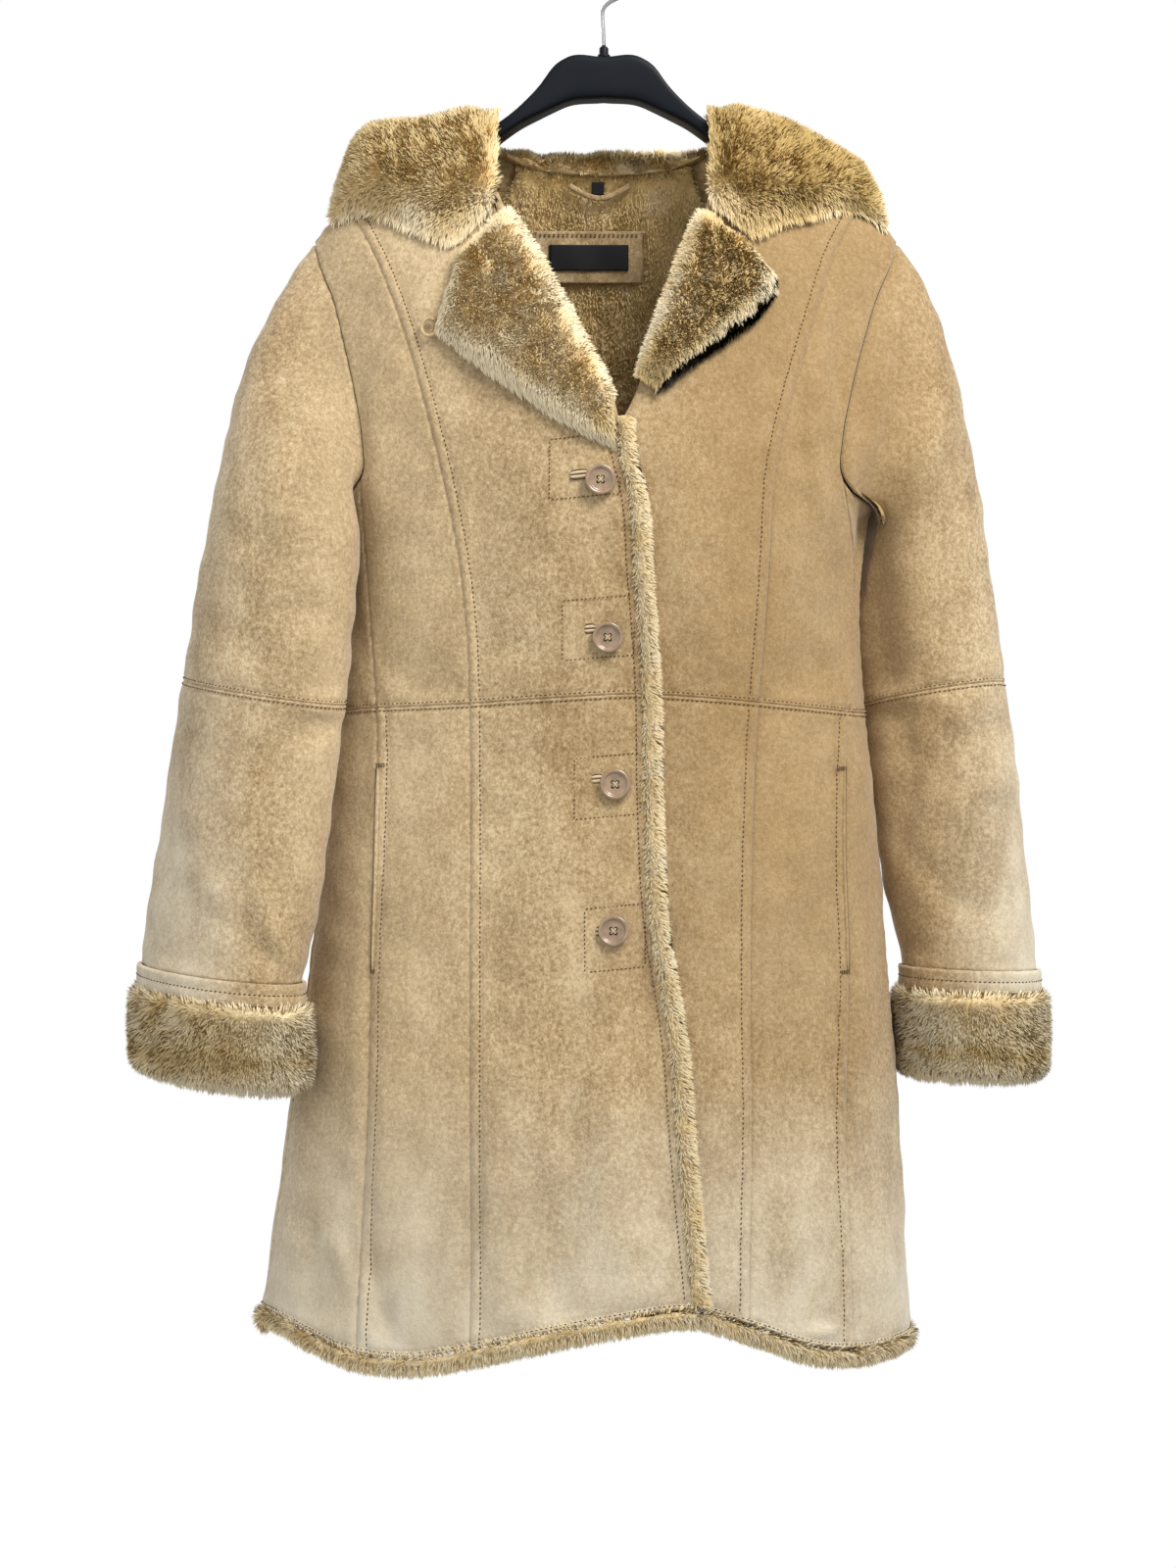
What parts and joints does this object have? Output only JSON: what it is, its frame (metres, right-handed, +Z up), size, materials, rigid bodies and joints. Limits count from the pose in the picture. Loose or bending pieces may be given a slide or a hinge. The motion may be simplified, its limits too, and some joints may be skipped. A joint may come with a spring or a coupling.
{
  "type": "hooded shearling coat on a hanger",
  "caption": "Hooded faux shearling coat with fur lapels, cuffs and edges, closed by buttons down the front, hanging on a plastic clothes hanger.",
  "frame": {"origin": "inside top of the hanger's hook, where a rail holds it", "axes": "+Z up through the hook, -Y towards a viewer in front of the coat, +X to that viewer's right"},
  "size_m": [0.6589, 0.263, 1.013],
  "materials": {
    "suede": "matte suede, mottled tan",
    "fur": "sheared golden beige pile",
    "button": "satin horn-look resin",
    "label": "black woven tape",
    "plastic": "fine matte",
    "hook_steel": "bright wire"
  },
  "bodies": {
    "root": {"back_centre_lower_left": "suede", "back_centre_lower_right": "suede", "back_centre_upper_left": "suede", "back_centre_upper_right": "suede", "back_lining": "fur", "back_side_lower_left": "suede", "back_side_lower_right": "suede", "back_side_upper_left": "suede", "back_side_upper_right": "suede", "button_1": "button", "button_2": "button", "button_3": "button", "button_4": "button", "cuff_band_left": "suede", "cuff_band_right": "suede", "cuff_fur_left": "fur", "cuff_fur_right": "fur", "edge_fur_left": "fur", "front_centre_lower_left": "suede", "front_centre_lower_right": "suede", "front_centre_upper_left": "suede", "front_centre_upper_right": "suede", "front_side_lower_left": "suede", "front_side_lower_right": "suede", "front_side_upper_left": "suede", "front_side_upper_right": "suede", "hanger_arms": "plastic", "hanger_collar": "plastic", "hanger_hook": "hook_steel", "hanging_loop": "suede", "hem_fur_back": "fur", "hem_fur_front_left": "fur", "hem_fur_front_right": "fur", "hood_lining_back": "fur", "hood_lining_outer": "fur", "hood_neck_roll": "fur", "hood_outer_left": "suede", "hood_outer_right": "suede", "hood_wing_left": "fur", "hood_wing_right": "fur", "lapel_left": "fur", "lapel_loop": "suede", "lapel_right": "fur", "neck_label": "label", "neck_patch": "suede", "side_lower_left": "suede", "side_lower_right": "suede", "side_upper_left": "suede", "side_upper_right": "suede", "size_tab": "label", "sleeve_lower_left": "suede", "sleeve_lower_right": "suede", "sleeve_upper_left": "suede", "sleeve_upper_right": "suede"}
  },
  "joints": []
}
